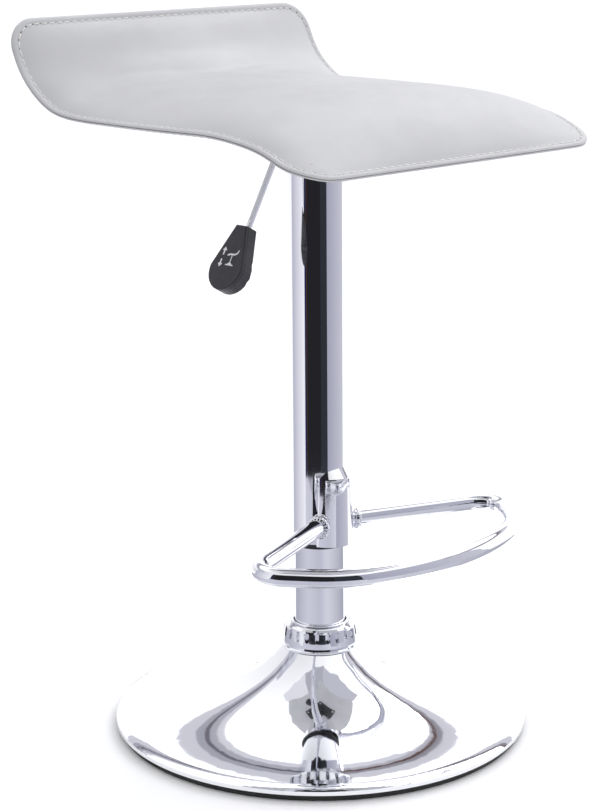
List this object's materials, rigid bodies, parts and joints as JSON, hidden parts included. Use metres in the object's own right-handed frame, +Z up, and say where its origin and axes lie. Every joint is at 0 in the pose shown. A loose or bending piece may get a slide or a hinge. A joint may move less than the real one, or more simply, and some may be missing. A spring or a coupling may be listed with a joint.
{
  "type": "adjustable swivel stool",
  "caption": "Swivel bar stool with a padded wave seat, gas-lift chromed column, footrest loop, height lever and round trumpet base.",
  "frame": {"origin": "on the floor, at the centre of the round base, under the column's axis, with the stool at its lowest height", "axes": "+Z up along the column, the sitter faces -Y, +X is to the sitter's left, the height lever is on the -X side"},
  "size_m": [0.4128, 0.4324, 0.7002],
  "materials": {
    "chrome": "mirror polished chrome plate",
    "steel": "zinc plated, satin",
    "black_paint": "satin black powder coat",
    "brass": "stamped, plain",
    "rubber": "matt black",
    "black_plastic": "moulded, satin",
    "handle_plastic": "moulded, finely grained",
    "white_nylon": "moulded nylon",
    "print": "pad-printed white",
    "leather": "pale cool grey-white, fine grain, satin",
    "thread": "off-white stitching thread",
    "foam": "open-cell foam",
    "plywood": "moulded plywood"
  },
  "bodies": {
    "base": {"base_dish": "chrome", "base_rubber_ring": "rubber", "base_hub_plate": "steel", "base_bolts": "steel", "base_washers": "steel", "trim_ring": "chrome", "trim_lip": "chrome", "lower_tube": "chrome", "tube_foot": "steel", "guide_sleeve": "white_nylon", "lower_race": "steel", "bearing_balls": "steel", "ball_cage": "brass"},
    "post": {"piston_rod": "steel", "upper_race": "steel", "rod_clip": "steel", "rod_washer": "steel", "piston": "steel", "bumper": "rubber"},
    "seat_assembly": {"gas_cylinder": "black_paint", "cylinder_seal": "rubber", "cover_tube": "chrome", "cover_bush": "black_plastic", "cover_cap": "black_plastic", "footrest_bracket": "chrome", "footrest_loop": "chrome", "footrest_welds": "chrome", "seat_bottom_cover": "leather", "seat_shell": "plywood", "seat_foam": "foam", "seat_top_cover": "leather", "tee_nuts": "steel", "seat_bolts": "steel", "seat_washers": "steel", "mechanism_plate": "black_paint", "mechanism_channel": "black_paint", "taper_socket": "steel", "pivot_pin": "steel"},
    "lever": {"lever_yoke": "steel", "lever_rod": "chrome", "handle_face": "handle_plastic", "handle_back": "handle_plastic", "handle_screws": "steel"},
    "valve": {"valve_pin": "steel"}
  },
  "joints": [
    {"name": "seat_swivel", "type": "hinge", "parent": "base", "child": "post", "pos_m": [0, 0, 0.05], "axis": [0, 0, 1], "continuous": true},
    {"name": "seat_lift", "type": "slide", "parent": "post", "child": "seat_assembly", "axis": [0, 0, 1], "range_m": [0, 0.2]},
    {"name": "lever_pull", "type": "hinge", "parent": "seat_assembly", "child": "lever", "pos_m": [-0.022, 0, 0.596], "axis": [0, 1, 0], "range_deg": [0, 8], "stiffness_Nm_per_rad": 1},
    {"name": "valve_press", "type": "slide", "parent": "seat_assembly", "child": "valve", "axis": [0, 0, -1], "range_m": [0, 0.0032], "stiffness_N_per_m": 500}
  ],
  "couplings": [
    {"joint": "valve_press", "follows": "lever_pull", "m_per_rad": 0.022}
  ]
}
